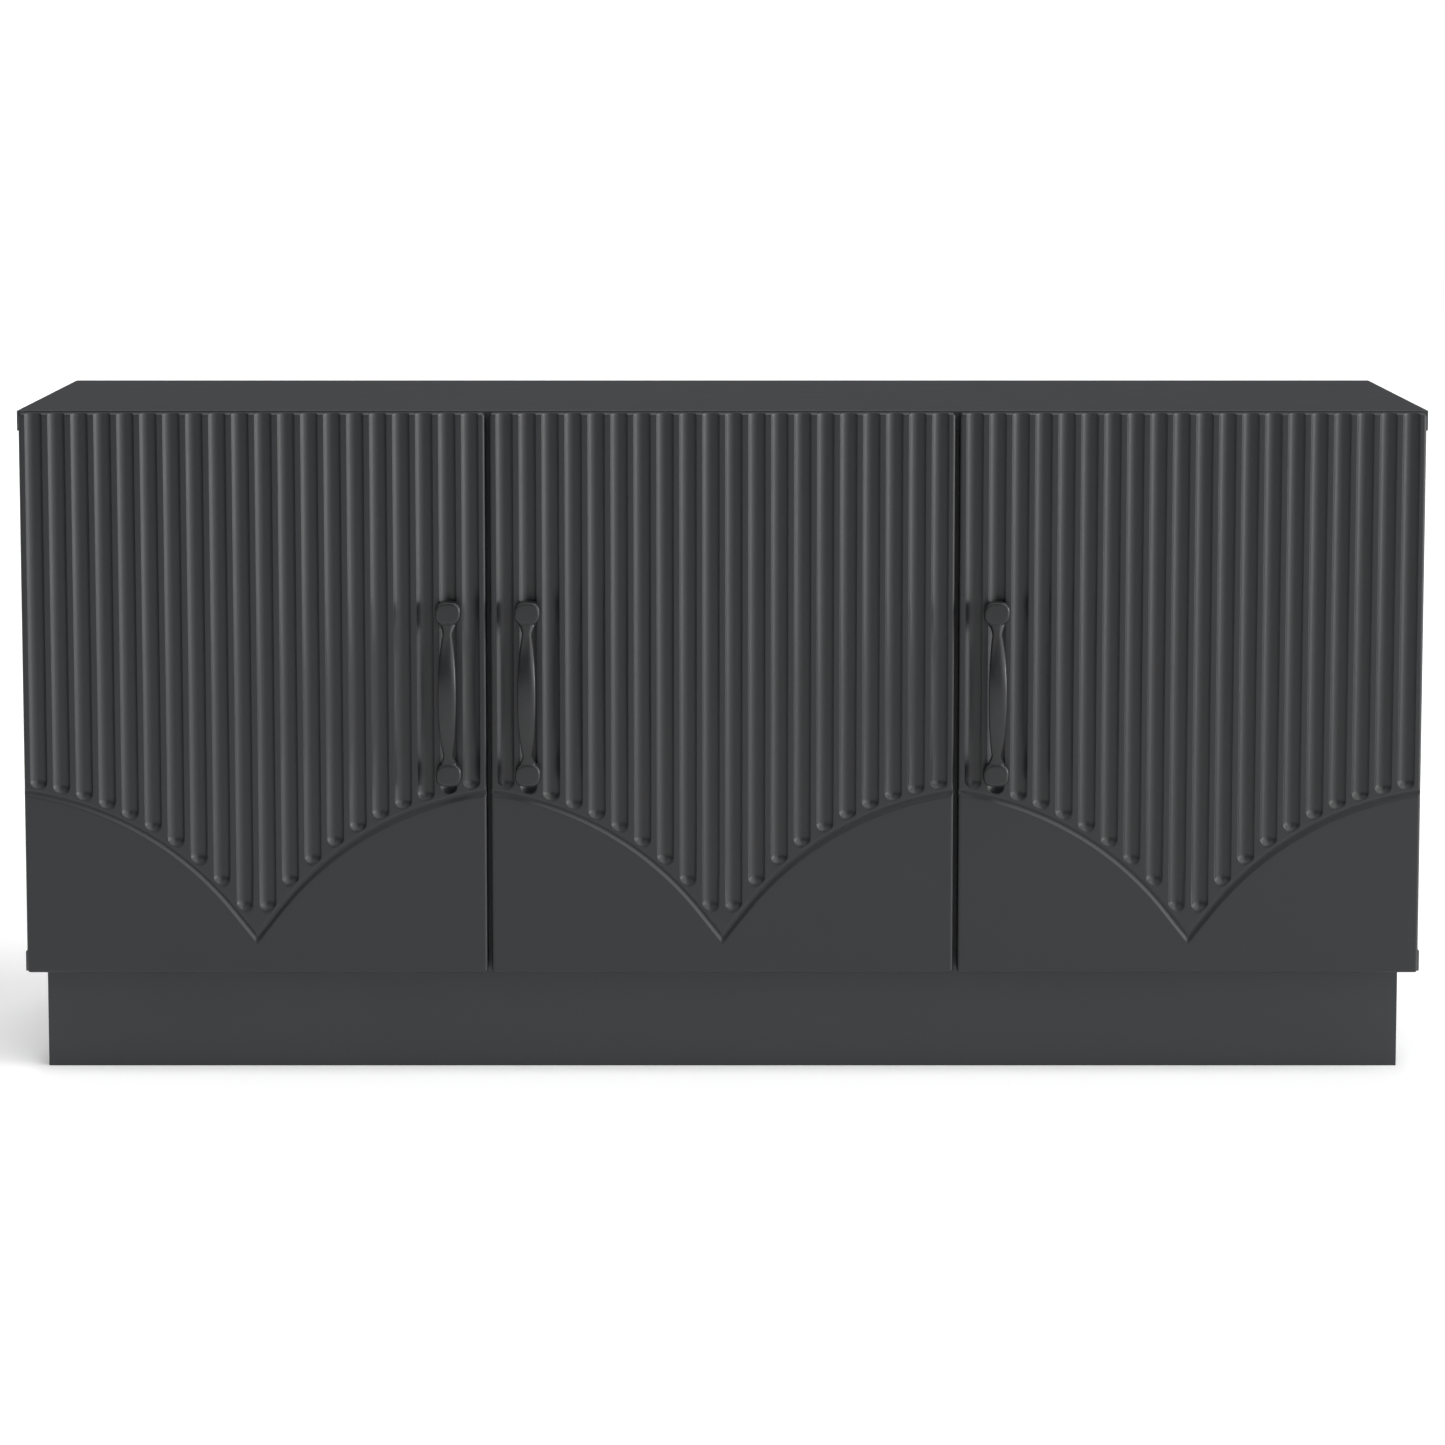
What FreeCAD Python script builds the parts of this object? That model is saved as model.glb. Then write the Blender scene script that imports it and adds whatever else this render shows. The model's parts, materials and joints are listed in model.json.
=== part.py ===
import FreeCAD
import Part
import math
import os

# A three-door sideboard on a recessed plinth. Millimetres, +X right, +Y back, +Z up.
# The floor is z = 0 and the origin is under the middle of the whole box, handles included.

# overall sizes
top_width = 1400.0
carcass_depth = 380.0
carcass_height = 565.0
plinth_height = 102.0

# boards
cap_board = 20.0          # top and bottom boards
upright_board = 18.0      # sides and partitions
shelf_board = 18.0
plinth_board = 18.0
back_board = 3.0
side_setback = 1.5        # side panels stand this far inside the ends of the top
back_inset = 10.0         # from the rear edges to the back panels
groove_depth = 6.0
groove_clearance = 0.2
shelf_end_clearance = 2.0
shelf_setback = 25.0
shelf_back_clearance = 2.0
shelf_front_round = 1.0
plinth_inset_side = 18.5
plinth_inset_front = 19.0
plinth_inset_back = 19.0

# doors
door_thickness = 18.0
door_gap = 4.4
door_side_reveal = 4.8
door_top_reveal = 1.0
door_bottom_reveal = 2.5
door_stand_off = 3.2      # air between the doors and the front edges of the boards
door_corner_round = 3.2
door_front_round = 3.0
door_back_round = 2.0

# flutes and the carved line under them
flute_count = 20
flute_width = 17.0
flute_depth = 4.5
flute_margin = 6.3        # plain strip beside the first and the last flute
line_edge_height = 182.7  # above the foot of the door, at its edges
line_tip_height = 35.1    # the same at the middle
line_start_angle = 7.9    # fall of the line where it leaves the edge, degrees
line_straight = 36.8      # straight run beside the tip
line_width = 7.0
line_depth = 2.3
flute_end_offset = 14.2  # from the line to the centre of a flute's round end
cut_spare = 1.0           # how far cutters reach past a face
line_overrun = 8.0        # how far the line's cutters reach past the edges of the door

# handles
handle_from_edge = 37.0   # from the free edge of the door
handle_height = 283.0     # centre, above the foot of the door
handle_spacing = 162.0    # between the heads
head_width = 25.4
head_height = 23.0
head_thick = 13.5
head_round = 7.0
head_front_round = 3.0
bow_projection = 33.0
bow_neck_gap = 10.0       # from a head to the neck beside it
bow_neck_width = 9.8
bow_width = 18.5
bow_root_width = 16.5     # where the bow flares into a head
bow_neck_thick = 6.5
bow_thick = 8.0
bow_root_thick = 7.0
bow_in_head = 3.0
bow_root_height = 0.48    # middle of the bow's ends, as a share of the heads' thickness
bow_arch = 2.5            # power of the arch: higher is flatter along the middle
bow_swell = 0.8           # power of the swell: lower is fuller beside the necks
bow_flare = 1.6

# concealed hinges
hinge_from_end = 100.0    # centre of a hinge from the top or the foot of the door
cup_radius = 17.5
cup_depth = 11.5
cup_from_edge = 21.5      # centre of the cup from the edge of the door
cup_wall = 1.0
cup_floor = 0.7
cup_clearance = 0.1
flange_radius = 18.7
flange_thick = 1.0
flange_wing = 29.0        # half the height of the flange
flange_wing_width = 13.0
flange_wing_round = 5.2
cup_screw_spacing = 48.0
cup_screw_offset = 6.0    # cup screws stand this much further from the edge than the cup
pivot_from_edge = 8.5
pin_radius = 0.9
pin_clearance = 0.05
pin_half_length = 10.5
eye_radius = 1.8
eye_clearance = 0.5       # between the eye and the floor of the cup
pivot_from_front = door_thickness - cup_depth + cup_floor + eye_clearance + eye_radius
hook_reach = 13.5
strip_thick = 2.0
strip_width = 11.0
arm_crank_start = 2.0     # depths behind the front edges of the boards
arm_crank_end = 11.0
arm_body_start = 12.0
arm_body_end = 58.0
arm_body_width = 17.0
arm_body_thick = 7.3
arm_body_round = 2.0
arm_rise = 4.3            # middle of the strip above the face of the plate
plate_depth = 37.0        # middle of the plate behind the front edges
plate_length = 20.0
plate_height = 48.0
plate_thick = 3.0
plate_round = 5.0
plate_screw_spacing = 32.0
adjusting_screw_inset = 9.0   # from the ends of the arm's body

# door bumpers
bumper_radius = 4.0
bumper_clearance = 0.4
bumper_from_edge = 22.0
bumper_from_end = 10.0
bumper_round = 1.0

# screws as shank radius, length, head radius, head height
cup_screw = (1.75, 11.0, 3.4, 1.1)
plate_screw = (1.9, 12.0, 4.0, 1.6)
adjusting_screw = (2.0, 5.0, 3.6, 1.4)
handle_screw = (2.0, 27.0, 4.2, 2.2)
block_screw = (2.2, 52.0, 4.4, 2.0)
handle_screw_clearance = 0.25
crown_share = 0.45        # rounding of a screw head, as a share of its height
recess_span_share = 1.1   # cross recess, as shares of the head's radius and height
recess_width_share = 0.2
recess_depth_share = 0.5

# carcass fittings
cam_radius = 7.4
cam_hole_radius = 7.5
cam_depth = 12.5
cam_from_end = 24.0
cam_mark_width = 1.4
cam_mark_depth = 1.0
bolt_radius = 3.0
bolt_hole_radius = 3.5
bolt_head_radius = 3.4
bolt_head_height = 3.0
bolt_thread_radius = 2.5
bolt_thread_length = 11.0
bolt_clearance = 0.4
cam_from_edge = 60.0      # from the front and the rear edges of the upright
dowel_radius = 4.0
dowel_in_cap = 11.0
dowel_in_upright = 19.0
dowel_hole_spare = 1.0
dowel_from_edge = 92.0

# shelf pins
shelf_height = 268.0      # underside of the shelves above the inside of the bottom board
pin_peg_radius = 2.5
pin_peg_in = 8.0
pin_peg_out = 9.0
pin_collar_radius = 4.0
pin_collar = 1.5
pin_hole_step = 32.0
pin_hole_rows = 3
pin_row_front = 62.0      # from the front edge of the upright
pin_row_back = 70.0       # from its rear edge

# plinth blocks
block_side = 32.0
block_height = 40.0

# places that follow from the sizes above
half_width = top_width / 2
bottom_z = plinth_height
floor_z = bottom_z + cap_board
top_z = plinth_height + carcass_height
ceiling_z = top_z - cap_board
back_y = (carcass_depth + door_stand_off + door_thickness + bow_projection) / 2
front_y = back_y - carcass_depth
door_back_y = front_y - door_stand_off
door_front_y = door_back_y - door_thickness
door_width = (top_width - 2 * door_side_reveal - 2 * door_gap) / 3
door_foot_z = bottom_z + door_bottom_reveal
door_head_z = top_z - door_top_reveal
side_face = half_width - side_setback - upright_board
partition_x = door_width / 2 + door_gap / 2
panel_back_y = back_y - back_inset
panel_front_y = panel_back_y - back_board
shelf_z = floor_z + shelf_height

# each door: name, left edge, side of its hinges (-1 left, 1 right)
doors = []
for place, (name, hinge_side) in enumerate([("left", -1), ("middle", 1), ("right", 1)]):
    left_edge = -half_width + door_side_reveal + place * (door_width + door_gap)
    doors.append((name, left_edge, hinge_side))

# each upright: name, middle, facing of its cam locks, faces that look into a bay
uprights = [
    ("left_side_panel", -half_width + side_setback + upright_board / 2, 1, (1,)),
    ("left_partition", -partition_x, -1, (-1, 1)),
    ("right_partition", partition_x, 1, (-1, 1)),
    ("right_side_panel", half_width - side_setback - upright_board / 2, -1, (-1,)),
]

# each bay: name, its left and right faces
bays = [
    ("left", -side_face, -partition_x - upright_board / 2),
    ("middle", -partition_x + upright_board / 2, partition_x - upright_board / 2),
    ("right", partition_x + upright_board / 2, side_face),
]

point = FreeCAD.Vector
along_x = point(1, 0, 0)
along_y = point(0, 1, 0)
along_z = point(0, 0, 1)


def block(x0, x1, y0, y1, z0, z1):
    low_x, high_x = sorted((x0, x1))
    return Part.makeBox(high_x - low_x, y1 - y0, z1 - z0, point(low_x, y0, z0))


def rod(radius, start, direction, length):
    return Part.makeCylinder(radius, length, start, direction)


def joined(solids):
    return solids[0].multiFuse(solids[1:]).removeSplitter()


def rounded(shape, radius, wanted):
    """Rounds the edges whose middle point passes the test."""
    edges = [e for e in shape.Edges if wanted(e.CenterOfMass, e)]
    return shape.makeFillet(radius, edges)


def screw(sizes, seat, direction):
    """A pan-head screw whose head stands on the seat, with a cross recess; its shank runs along direction."""
    shank, length, head, height = sizes
    inward = point(direction)
    outward = inward * -1
    body = rod(shank, seat, inward, length)
    cap = rod(head, seat, outward, height)
    crown = seat + outward * height
    cap = rounded(cap, height * crown_share, lambda middle, e: (middle - crown).Length < 0.01)
    screw_solid = joined([body, cap])
    frame = FreeCAD.Placement(crown, FreeCAD.Rotation(along_z, outward))
    for turn in (0, 90):
        span, width, depth = head * recess_span_share, head * recess_width_share, height * recess_depth_share
        bar = Part.makeBox(span, width, depth)
        bar.translate(point(-span / 2, -width / 2, -depth))
        bar.rotate(point(), along_z, turn)
        bar.Placement = frame.multiply(bar.Placement)
        screw_solid = screw_solid.cut(bar)
    return screw_solid


# ---- carcass boards ----

def cap_panel(z0, z1, groove_z0, groove_z1):
    board = block(-half_width, half_width, front_y, back_y, z0, z1)
    groove_reach = groove_depth + groove_clearance
    low_x = -side_face - groove_reach
    groove = block(low_x, -low_x, panel_front_y - groove_clearance,
                   panel_back_y + groove_clearance, groove_z0, groove_z1)
    return board.cut(groove)


def upright_panel(middle, faces):
    board = block(middle - upright_board / 2, middle + upright_board / 2, front_y, back_y, floor_z, ceiling_z)
    cuts = []
    for facing in faces:
        face = middle + facing * upright_board / 2
        cuts.append(block(face, face - facing * groove_depth, panel_front_y - groove_clearance,
                          panel_back_y + groove_clearance, floor_z, ceiling_z))
        for y in (front_y + pin_row_front, back_y - pin_row_back):
            for row in range(pin_hole_rows):
                z = shelf_z - pin_peg_radius + (row - 1) * pin_hole_step
                cuts.append(rod(pin_peg_radius, point(face, y, z), point(-facing, 0, 0), pin_peg_in))
    return board.cut(cuts)


def back_panel(left_face, right_face):
    reach = groove_depth - groove_clearance
    return block(left_face - reach, right_face + reach, panel_front_y, panel_back_y, floor_z - reach,
                 ceiling_z + reach)


def shelf(left_face, right_face):
    board = block(left_face + shelf_end_clearance, right_face - shelf_end_clearance, front_y + shelf_setback,
                  panel_front_y - shelf_back_clearance, shelf_z, shelf_z + shelf_board)
    front = front_y + shelf_setback
    return rounded(board, shelf_front_round,
                   lambda middle, e: abs(middle.y - front) < 0.01 and e.Length > shelf_board * 2)


def shelf_pins(left_face, right_face):
    pins = []
    for face, facing in ((left_face, 1), (right_face, -1)):
        for y in (front_y + pin_row_front, back_y - pin_row_back):
            z = shelf_z - pin_peg_radius
            peg = rod(pin_peg_radius, point(face - facing * pin_peg_in, y, z), point(facing, 0, 0),
                      pin_peg_in + pin_collar + pin_peg_out)
            collar = rod(pin_collar_radius, point(face, y, z), point(facing, 0, 0), pin_collar)
            pins.append(joined([peg, collar]))
    return pins


# ---- cams, bolts and dowels between the caps and the uprights ----

def cam_joint(middle, cam_facing, end_z, into_upright):
    """The fittings of one end of one upright, with the cutters for both boards."""
    cams, bolts, dowels, cap_cuts, upright_cuts = [], [], [], [], []
    down = point(0, 0, into_upright)
    up = point(0, 0, -into_upright)
    for y in (front_y + cam_from_edge, back_y - cam_from_edge):
        seat = point(middle, y, end_z)
        thread = rod(bolt_thread_radius, seat, up, bolt_thread_length)
        stem_length = cam_from_end - bolt_head_height / 2
        stem = rod(bolt_radius, seat, down, stem_length)
        head = rod(bolt_head_radius, seat + down * stem_length, down, bolt_head_height)
        bolt = joined([thread, stem, head])
        bolts.append(bolt)
        cap_cuts.append(thread)
        hole = rod(bolt_hole_radius, seat, down, cam_from_end + bolt_head_height)
        face = middle + cam_facing * upright_board / 2
        cam_centre = point(face, y, end_z + into_upright * cam_from_end)
        inward = point(-cam_facing, 0, 0)
        cam_hole = rod(cam_hole_radius, cam_centre, inward, cam_depth)
        upright_cuts += [hole, cam_hole]
        slot = rod(bolt_head_radius + bolt_clearance, seat, down, cam_from_end + bolt_head_height)
        cam = rod(cam_radius, cam_centre, inward, cam_depth).cut(slot)
        mark = block(face - cam_mark_depth, face + cam_mark_depth, y - cam_radius, y + cam_radius,
                     cam_centre.z - cam_mark_width / 2, cam_centre.z + cam_mark_width / 2)
        cams.append(cam.cut(mark))
    for y in (front_y + dowel_from_edge, back_y - dowel_from_edge):
        seat = point(middle, y, end_z)
        dowels.append(rod(dowel_radius, seat + up * dowel_in_cap, down, dowel_in_cap + dowel_in_upright))
        cap_cuts.append(rod(dowel_radius, seat, up, dowel_in_cap + dowel_hole_spare))
        upright_cuts.append(rod(dowel_radius, seat, down, dowel_in_upright + dowel_hole_spare))
    return cams, bolts, dowels, cap_cuts, upright_cuts


# ---- plinth ----

plinth_left = -half_width + plinth_inset_side
plinth_right = -plinth_left
plinth_front_y = front_y + plinth_inset_front
plinth_back_y = back_y - plinth_inset_back
rail_front_y = plinth_front_y + plinth_board
rail_back_y = plinth_back_y - plinth_board


def plinth_rail(y0, y1):
    return block(plinth_left, plinth_right, y0, y1, 0, plinth_height)


def plinth_cross(x0, x1):
    return block(x0, x1, rail_front_y, rail_back_y, 0, plinth_height)


def plinth_blocks():
    """Blocks in the inner corners of the plinth and beside its braces, each held up by one long screw."""
    blocks, screws = [], []
    inner = plinth_right - plinth_board
    brace = partition_x - plinth_board / 2
    for x, facing in ((-inner, 1), (-brace, 1), (brace, -1), (inner, -1)):
        for y0 in (rail_front_y, rail_back_y - block_side):
            solid = block(x, x + facing * block_side, y0, y0 + block_side, plinth_height - block_height,
                          plinth_height)
            seat = point(x + facing * block_side / 2, y0 + block_side / 2, plinth_height - block_height)
            held_by = screw(block_screw, seat, along_z)
            blocks.append(solid.cut(held_by))
            screws.append(held_by)
    return blocks, screws


# ---- doors ----

def line_shape():
    """Radius of the carved line's shoulder and the slope of its straight run, from the drop and half the width."""
    run = door_width / 2
    drop = line_edge_height - line_tip_height
    start = math.radians(line_start_angle)
    low, high = start + 0.01, math.radians(88)
    for _ in range(60):
        slope = (low + high) / 2
        radius = (run - line_straight * math.cos(slope)) / (math.sin(slope) - math.sin(start))
        reached = radius * (math.cos(start) - math.cos(slope)) + line_straight * math.sin(slope)
        low, high = (slope, high) if reached < drop else (low, slope)
    return radius, slope


shoulder_radius, tip_slope = line_shape()
shoulder_x = -shoulder_radius * math.sin(math.radians(line_start_angle))
shoulder_z = line_edge_height - shoulder_radius * math.cos(math.radians(line_start_angle))


def flute_end(across):
    """Height of the centre of a flute's round end; across is its distance from the nearer edge of the door."""
    reach = shoulder_radius + flute_end_offset
    on_shoulder = shoulder_z + math.sqrt(reach ** 2 - (across - shoulder_x) ** 2)
    turn_x = shoulder_x + reach * math.sin(tip_slope)
    if across <= turn_x:
        return on_shoulder
    turn_z = shoulder_z + reach * math.cos(tip_slope)
    return turn_z - (across - turn_x) * math.tan(tip_slope)


def flute_cutters(left_edge):
    """Round-bottomed channels with ball ends, running out through the top edge of the door."""
    radius = (flute_width ** 2 / 4 + flute_depth ** 2) / (2 * flute_depth)
    axis_y = door_front_y - (radius - flute_depth)
    pitch = (door_width - 2 * flute_margin - flute_width) / (flute_count - 1)
    high = door_head_z + radius
    cutters = []
    for place in range(flute_count):
        across = flute_margin + flute_width / 2 + place * pitch
        x = left_edge + across
        z = door_foot_z + flute_end(min(across, door_width - across))
        foot = point(x, axis_y, z - radius)
        bend = point(x + radius * math.sqrt(0.5), axis_y, z - radius * math.sqrt(0.5))
        side = point(x + radius, axis_y, z)
        top_side = point(x + radius, axis_y, high)
        top_middle = point(x, axis_y, high)
        edges = [Part.Arc(foot, bend, side).toShape()]
        for a, b in ((side, top_side), (top_side, top_middle), (top_middle, foot)):
            edges.append(Part.LineSegment(a, b).toShape())
        half = Part.Face(Part.Wire(edges))
        cutters.append(half.revolve(point(x, axis_y, z), along_z, 360))
    return cutters


def line_cutters(left_edge):
    """The V-cut that follows the flute ends: a shoulder arc and a straight run, with a mitre at the tip."""
    half_cut = line_width / 2 * (line_depth + cut_spare) / line_depth
    centre = point(left_edge + shoulder_x, 0, door_foot_z + shoulder_z)
    early = math.radians(line_start_angle) - line_overrun / shoulder_radius

    def profile(angle):
        outward = point(math.sin(angle), 0, math.cos(angle))
        mouth_y = door_front_y - cut_spare
        corners = [centre + outward * (shoulder_radius + offset) + along_y * y
                   for offset, y in ((-half_cut, mouth_y), (half_cut, mouth_y), (0, door_front_y + line_depth))]
        return Part.Face(Part.makePolygon(corners + corners[:1]))

    shoulder = profile(early).revolve(centre, along_y, math.degrees(tip_slope - early))
    run = point(math.cos(tip_slope), 0, -math.sin(tip_slope)) * (line_straight + line_width * 2)
    straight = profile(tip_slope).extrude(run)
    half_door = block(left_edge - line_overrun * 2, left_edge + door_width / 2, door_front_y - cut_spare * 2,
                      door_back_y, door_foot_z, door_head_z)
    left = joined([shoulder, straight]).common(half_door)
    middle = point(left_edge + door_width / 2, 0, 0)
    return [left, left.mirror(middle, along_x)]


def door_slab(left_edge):
    slab = block(left_edge, left_edge + door_width, door_front_y, door_back_y, door_foot_z, door_head_z)
    slab = rounded(slab, door_corner_round, lambda middle, e: abs(e.Length - door_thickness) < 0.01)
    slab = rounded(slab, door_front_round, lambda middle, e: abs(middle.y - door_front_y) < 0.01)
    return rounded(slab, door_back_round, lambda middle, e: abs(middle.y - door_back_y) < 0.01)


bow_reach = handle_spacing / 2 - head_height / 2 + bow_in_head
bow_neck = handle_spacing / 2 - head_height / 2 - bow_neck_gap


def bow_offset(height):
    """How far the middle of the bow stands out, at a height above or below the middle of the handle."""
    root = head_thick * bow_root_height
    share = min(abs(height) / bow_reach, 1)
    return root + (bow_projection - bow_thick / 2 - root) * (1 - share ** bow_arch)


def bow_section(height):
    """Half the width and half the thickness of the bow: a swelled middle, two necks, and a flare into each head."""
    swell = max(1 - (height / bow_neck) ** 2, 0) ** bow_swell
    flare = (max(abs(height) - bow_neck, 0) / bow_neck_gap) ** bow_flare
    wide = bow_neck_width + (bow_width - bow_neck_width) * swell + (bow_root_width - bow_neck_width) * flare
    thick = bow_neck_thick + (bow_thick - bow_neck_thick) * swell + (bow_root_thick - bow_neck_thick) * flare
    return wide / 2, thick / 2


def handle(x, z):
    """Two square heads with round corners, joined by a bow that swells towards its middle."""
    solids = []
    for side in (-1, 1):
        low_z = z + side * handle_spacing / 2 - head_height / 2
        head = block(x - head_width / 2, x + head_width / 2, door_front_y - head_thick, door_front_y,
                     low_z, low_z + head_height)
        head = rounded(head, head_round, lambda middle, e: abs(e.Length - head_thick) < 0.01)
        head = rounded(head, head_front_round, lambda middle, e: abs(middle.y - (door_front_y - head_thick)) < 0.01)
        solids.append(head)
    upper = [bow_neck * share for share in (0.25, 0.5, 0.75, 0.92, 1.0)]
    upper += [bow_neck + bow_neck_gap * share for share in (0.35, 0.7, 1.0)] + [bow_reach]
    wires = []
    for height in [-h for h in reversed(upper)] + [0] + upper:
        wide, deep = bow_section(height)
        low, high = max(height - 1, -bow_reach), min(height + 1, bow_reach)
        lean = (bow_offset(high) - bow_offset(low)) / (high - low)
        wire = Part.Wire([Part.Ellipse(point(), wide, deep).toShape()])
        wire.Placement = FreeCAD.Placement(point(x, door_front_y - bow_offset(height), z + height),
                                           FreeCAD.Rotation(along_z, point(0, -lean, 1)))
        wires.append(wire)
    solids.append(Part.makeLoft(wires, True))
    return joined(solids)


def hinge_heights():
    return door_foot_z + hinge_from_end, door_head_z - hinge_from_end


def hinge_cup(edge_x, inward, z):
    """A pressed cup with a winged flange, and the pin across its outer side."""
    x = edge_x + inward * cup_from_edge
    floor_y = door_back_y - cup_depth
    shell = rod(cup_radius, point(x, floor_y, z), along_y, cup_depth)
    wing_x = edge_x + inward * (cup_from_edge + cup_screw_offset)
    wing = block(wing_x - flange_wing_width / 2, wing_x + flange_wing_width / 2, door_back_y,
                 door_back_y + flange_thick, z - flange_wing, z + flange_wing)
    wing = rounded(wing, flange_wing_round, lambda middle, e: abs(e.Length - flange_thick) < 0.01)
    rim = rod(flange_radius, point(x, door_back_y, z), along_y, flange_thick)
    hollow = rod(cup_radius - cup_wall, point(x, floor_y + cup_floor, z), along_y, cup_depth + flange_thick)
    pin = rod(pin_radius, point(edge_x + inward * pivot_from_edge, door_front_y + pivot_from_front,
                                z - pin_half_length), along_z, 2 * pin_half_length)
    screws = []
    for side in (-1, 1):
        seat = point(wing_x, door_back_y + flange_thick, z + side * cup_screw_spacing / 2)
        screws.append(screw(cup_screw, seat, point(0, -1, 0)))
    cup = joined([shell, wing, rim]).cut([hollow, pin] + screws)
    recess = rod(cup_radius + cup_clearance, point(x, floor_y, z), along_y, cup_depth + cut_spare)
    return cup, pin, screws, recess


def hinge_arm(edge_x, inward, face_from_edge, z):
    """A bent strip whose eye turns on the pin in the cup. It leaves the cup beside the edge of the door and
    runs back, cranked where the upright needs it, into the body that lies on the mounting plate."""
    def place(from_edge, from_front, height=0.0):
        return point(edge_x + inward * from_edge, door_front_y + from_front, z + height)

    board_face = door_thickness + door_stand_off
    hook_from_edge = pivot_from_edge + hook_reach
    level = face_from_edge + plate_thick + arm_rise
    path = [
        (pivot_from_edge, pivot_from_front),
        (hook_from_edge, pivot_from_front),
        (hook_from_edge, board_face + arm_crank_start),
        (level, board_face + arm_crank_end),
        (level, board_face + arm_body_end - strip_thick),
    ]
    low = -strip_width / 2
    solids = [rod(eye_radius, place(*path[0], low), along_z, strip_width)]
    for here, there in zip(path, path[1:]):
        a, b = place(*here, low), place(*there, low)
        run = b - a
        side = point(-run.y, run.x, 0) * (strip_thick / 2 / run.Length)
        corners = [a + side, b + side, b - side, a - side]
        solids.append(Part.Face(Part.makePolygon(corners + corners[:1])).extrude(along_z * strip_width))
    for here in path[1:-1]:
        solids.append(rod(strip_thick / 2, place(*here, low), along_z, strip_width))
    base = face_from_edge + plate_thick
    body = block(edge_x + inward * base, edge_x + inward * (base + arm_body_thick),
                 front_y + arm_body_start, front_y + arm_body_end,
                 z - arm_body_width / 2, z + arm_body_width / 2)
    outer = edge_x + inward * (base + arm_body_thick)
    body = rounded(body, arm_body_round, lambda middle, e: abs(middle.x - outer) < 0.01)
    solids.append(body)
    bore = rod(pin_radius + pin_clearance, place(*path[0], low), along_z, strip_width)
    arm = joined(solids).cut(bore)
    screws = []
    for depth in (arm_body_start + adjusting_screw_inset, arm_body_end - adjusting_screw_inset):
        seat = point(outer, front_y + depth, z)
        screws.append(screw(adjusting_screw, seat, point(-inward, 0, 0)))
    return arm.cut(screws), screws


def hinge_plate(edge_x, inward, face_from_edge, z):
    face = edge_x + inward * face_from_edge
    top = face + inward * plate_thick
    plate = block(face, top, front_y + plate_depth - plate_length / 2, front_y + plate_depth + plate_length / 2,
                  z - plate_height / 2, z + plate_height / 2)
    plate = rounded(plate, plate_round, lambda middle, e: abs(e.Length - plate_thick) < 0.01)
    screws = []
    for side in (-1, 1):
        seat = point(top, front_y + plate_depth, z + side * plate_screw_spacing / 2)
        screws.append(screw(plate_screw, seat, point(-inward, 0, 0)))
    return plate.cut(screws), screws


# ---- putting the pieces together ----

pieces = {}
group = Part.makeCompound

cap_cuts = {"top": [], "bottom": []}
cams, bolts, dowels = [], [], []
for name, middle, cam_facing, faces in uprights:
    board = upright_panel(middle, faces)
    for cap, end_z, into_upright in (("top", ceiling_z, -1), ("bottom", floor_z, 1)):
        fittings = cam_joint(middle, cam_facing, end_z, into_upright)
        cams += fittings[0]
        bolts += fittings[1]
        dowels += fittings[2]
        cap_cuts[cap] += fittings[3]
        board = board.cut(fittings[4])
    pieces[name] = board

pin_solids = []
for name, left_face, right_face in bays:
    pieces[name + "_back_panel"] = back_panel(left_face, right_face)
    pieces[name + "_shelf"] = shelf(left_face, right_face)
    pin_solids += shelf_pins(left_face, right_face)
pieces["shelf_pins"] = group(pin_solids)
pieces["cam_locks"] = group(cams)
pieces["cam_bolts"] = group(bolts)
pieces["dowels"] = group(dowels)

blocks, block_screws = plinth_blocks()
pieces["plinth_front"] = plinth_rail(plinth_front_y, rail_front_y)
pieces["plinth_back"] = plinth_rail(rail_back_y, plinth_back_y)
pieces["plinth_left_end"] = plinth_cross(plinth_left, plinth_left + plinth_board)
pieces["plinth_right_end"] = plinth_cross(plinth_right - plinth_board, plinth_right)
pieces["plinth_left_brace"] = plinth_cross(-partition_x - plinth_board / 2, -partition_x + plinth_board / 2)
pieces["plinth_right_brace"] = plinth_cross(partition_x - plinth_board / 2, partition_x + plinth_board / 2)
pieces["plinth_blocks"] = group(blocks)
pieces["plinth_screws"] = group(block_screws)

top = cap_panel(ceiling_z, top_z, ceiling_z, ceiling_z + groove_depth)
bottom = cap_panel(bottom_z, floor_z, floor_z - groove_depth, floor_z)
pieces["top_panel"] = top.cut(cap_cuts["top"])
pieces["bottom_panel"] = bottom.cut(cap_cuts["bottom"] + block_screws)

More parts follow.
